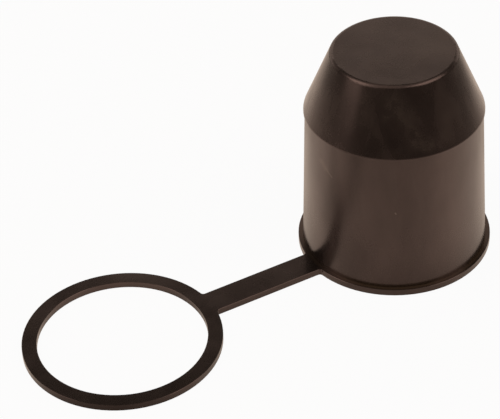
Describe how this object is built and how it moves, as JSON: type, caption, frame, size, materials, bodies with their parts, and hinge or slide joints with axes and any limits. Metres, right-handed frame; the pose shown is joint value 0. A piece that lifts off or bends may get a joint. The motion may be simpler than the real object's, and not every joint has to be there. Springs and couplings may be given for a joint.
{
  "type": "tow ball cover",
  "caption": "Moulded plastic cover for a tow ball: a flanged cup with a conical crown, and a flat strap to a ring that slips over the ball and keeps the cup on the tow bar.",
  "frame": {"origin": "centre of the cup's mouth, in the plane that the flange, strap and ring rest on", "axes": "+Z along the cup's axis towards its closed crown; the strap and the ring lie along -X"},
  "size_m": [0.1541, 0.0594, 0.0685],
  "materials": {
    "cover_plastic": "satin black, soft moulded plastic"
  },
  "bodies": {
    "root": {"tow_ball_cover": "cover_plastic"}
  },
  "joints": []
}
